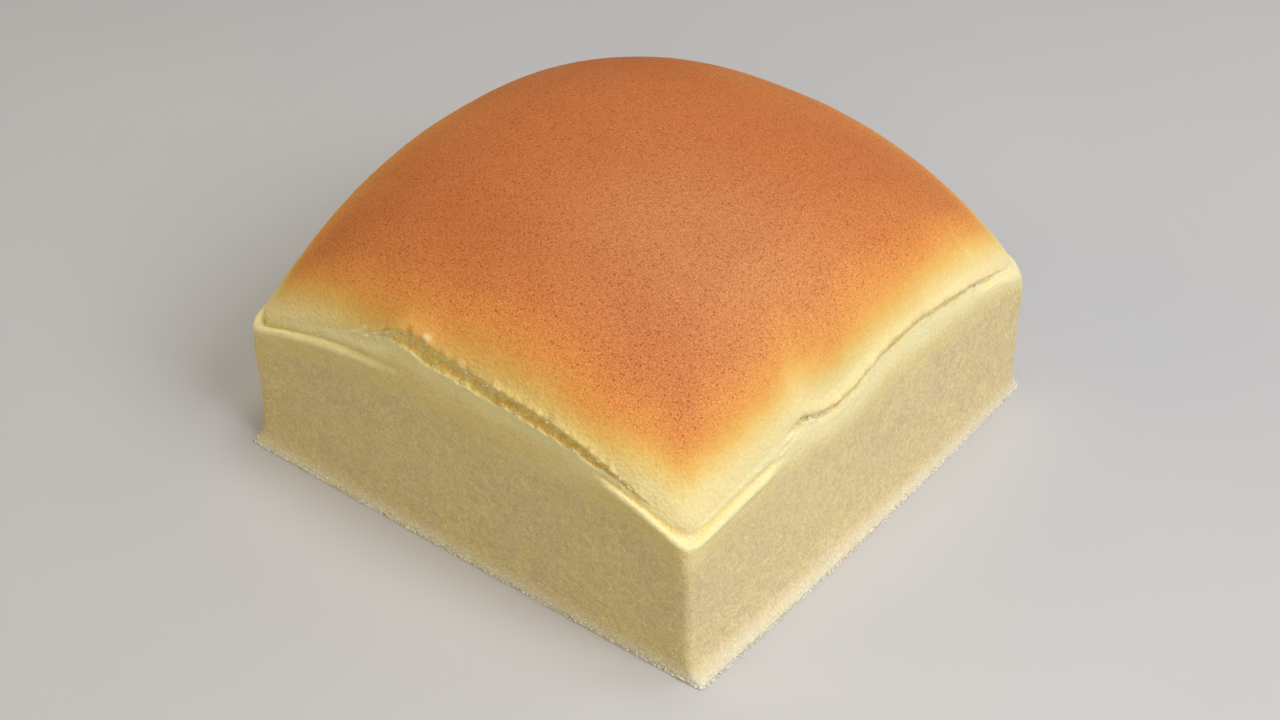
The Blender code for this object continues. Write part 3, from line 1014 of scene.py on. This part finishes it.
def cake_material():
    n = Nodes("sponge")
    place = n.add("ShaderNodeTexCoord").outputs["Object"]
    bake = n.attribute("bake")

    # Browning: uneven, and faded in over the dome's first centimetre
    wander = n.plus(n.swing(n.noise(place, 55, 3), 7.0), n.swing(n.noise(place, 380, 2), 3.0))
    browned = n.plus(n.attribute("brown"), n.times(wander, n.spread(bake, 1, 9)))
    in_crust = n.spread(browned, 9, 22)

    # Pores in the crust
    pores = n.add("ShaderNodeTexVoronoi", Vector=place, Scale=1000, Randomness=1.0)
    pit = n.times(n.rest(n.spread(pores.outputs["Distance"], 0.14, 0.38)), n.spread(pores.outputs["Color"], 0.50, 0.66))
    pit = n.times(pit, in_crust)

    # Painted highlight strips, made uneven with noise
    lit = n.plus(n.attribute("lit"), n.swing(n.noise(place, 150, 3, 0.6), 0.5))
    side = n.mix(n.spread(n.attribute("crack"), 0.14, 0.55), crumb_colour(n, place, lit), torn_colour(n, place))
    colour = n.mix(n.spread(bake, -0.5, 0.3), side, crust_colour(n, place, browned, pit))
    colour = n.mix(n.times(n.attribute("fleck"), 0.6), colour, srgb(252, 236, 188))

    # Fine dark grain, fainter on the top and on the painted highlight strips
    calm = n.math("MAXIMUM", n.spread(bake, -7, 0), n.spread(lit, 0.2, 1.0))
    grain = n.ramp(n.noise(place, 1500, 3, 0.7), ((0.3, (0.50, 0.46, 0.40)), (0.7, (1.12, 1.12, 1.12))))
    colour = n.mix(n.math("MULTIPLY_ADD", calm, -0.16, 0.36), colour, grain, "MULTIPLY")

    roughness = n.ramp(in_crust, ((0.0, (0.9, 0.9, 0.9)), (1.0, (0.58, 0.58, 0.58))))
    n.put(n.shader.inputs["Base Color"], colour)
    n.put(n.shader.inputs["Normal"], fine_relief(n, place, in_crust, pit))
    n.put(n.shader.inputs["Roughness"], roughness)
    n.shader.inputs["Specular IOR Level"].default_value = SPECULAR
    n.shader.inputs["Subsurface Weight"].default_value = 0.35
    n.shader.inputs["Subsurface Radius"].default_value = (1.0, 0.55, 0.22)
    n.shader.inputs["Subsurface Scale"].default_value = 0.0022
    return n.material


def crumb_material():
    n = Nodes("crumbs")
    place = n.add("ShaderNodeTexCoord").outputs["Object"]
    pale = n.mix(n.spread(n.noise(place, 500, 1), 0.35, 0.65), srgb(252, 242, 214), srgb(255, 251, 236))
    n.put(n.shader.inputs["Base Color"], n.mix(n.attribute("tint"), pale, srgb(244, 208, 116)))
    n.shader.inputs["Roughness"].default_value = 0.9
    n.shader.inputs["Specular IOR Level"].default_value = SPECULAR
    return n.material


def make_floor():
    half = FLOOR_HALF
    corners = [(-half, -half, 0), (half, -half, 0), (half, half, 0), (-half, half, 0)]
    floor = new_object("floor", corners, [(0, 1, 2, 3)])
    n = Nodes("floor_paper")
    place = n.add("ShaderNodeTexCoord").outputs["Object"]
    tint = n.noise(place, 9, 2)
    n.put(n.shader.inputs["Base Color"], n.mix(tint, (0.57, 0.545, 0.51, 1), (0.61, 0.585, 0.55, 1)))
    n.shader.inputs["Roughness"].default_value = 0.85
    floor.data.materials.append(n.material)


def add_lights():
    for name, place, power, colour in LIGHTS:
        data = bpy.data.lights.new(name, "AREA")
        data.shape = "DISK"
        data.size = LIGHT_SIZE
        data.energy = power
        data.color = colour
        light = bpy.data.objects.new(name, data)
        light.location = place
        light.rotation_euler = (Vector(LIGHT_TARGET) - Vector(place)).to_track_quat("-Z", "Y").to_euler()
        bpy.context.scene.collection.objects.link(light)
    world = bpy.data.worlds.new("room")
    world.use_nodes = True
    background = world.node_tree.nodes["Background"]
    background.inputs["Color"].default_value = ROOM_COLOUR
    background.inputs["Strength"].default_value = ROOM_STRENGTH
    bpy.context.scene.world = world
    bpy.context.scene.view_settings.view_transform = "Standard"


def add_camera():
    """The photograph's viewing angle."""
    azimuth, elevation, roll = (math.radians(angle) for angle in VIEW_ANGLES)
    level = math.cos(elevation)
    back = Vector((math.sin(azimuth) * level, -math.cos(azimuth) * level, math.sin(elevation)))
    level_right = Vector((math.cos(azimuth), math.sin(azimuth), 0))
    level_up = back.cross(level_right)
    right = math.cos(roll) * level_right + math.sin(roll) * level_up
    up = -math.sin(roll) * level_right + math.cos(roll) * level_up
    data = bpy.data.cameras.new("camera")
    data.lens = LENS
    data.sensor_width = SENSOR
    data.clip_start = 0.01
    camera = bpy.data.objects.new("camera", data)
    place = Vector((VIEW_PLACE[0] + CENTRING[0], VIEW_PLACE[1] + CENTRING[1], VIEW_PLACE[2]))
    camera.matrix_world = Matrix.Translation(place) @ Matrix((right, up, back)).transposed().to_4x4()
    bpy.context.scene.collection.objects.link(camera)
    bpy.context.scene.camera = camera


cake, cake_points, cake_values = build_cake()
cake_points, cake_normals = add_relief(cake, cake_points, cake_values)
cake.data.materials.append(cake_material())
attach(cake, "root")
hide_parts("cake")
crumbs = add_crumbs(cake_points, cake_normals, cake_values)
crumb_look = crumb_material()
crumbs.data.materials.append(crumb_look)
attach(crumbs, "root")
fuzz = add_fibres(cake_points, cake_normals, cake_values)
fuzz.data.materials.append(crumb_look)
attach(fuzz, "root")
make_floor()
add_lights()
add_camera()
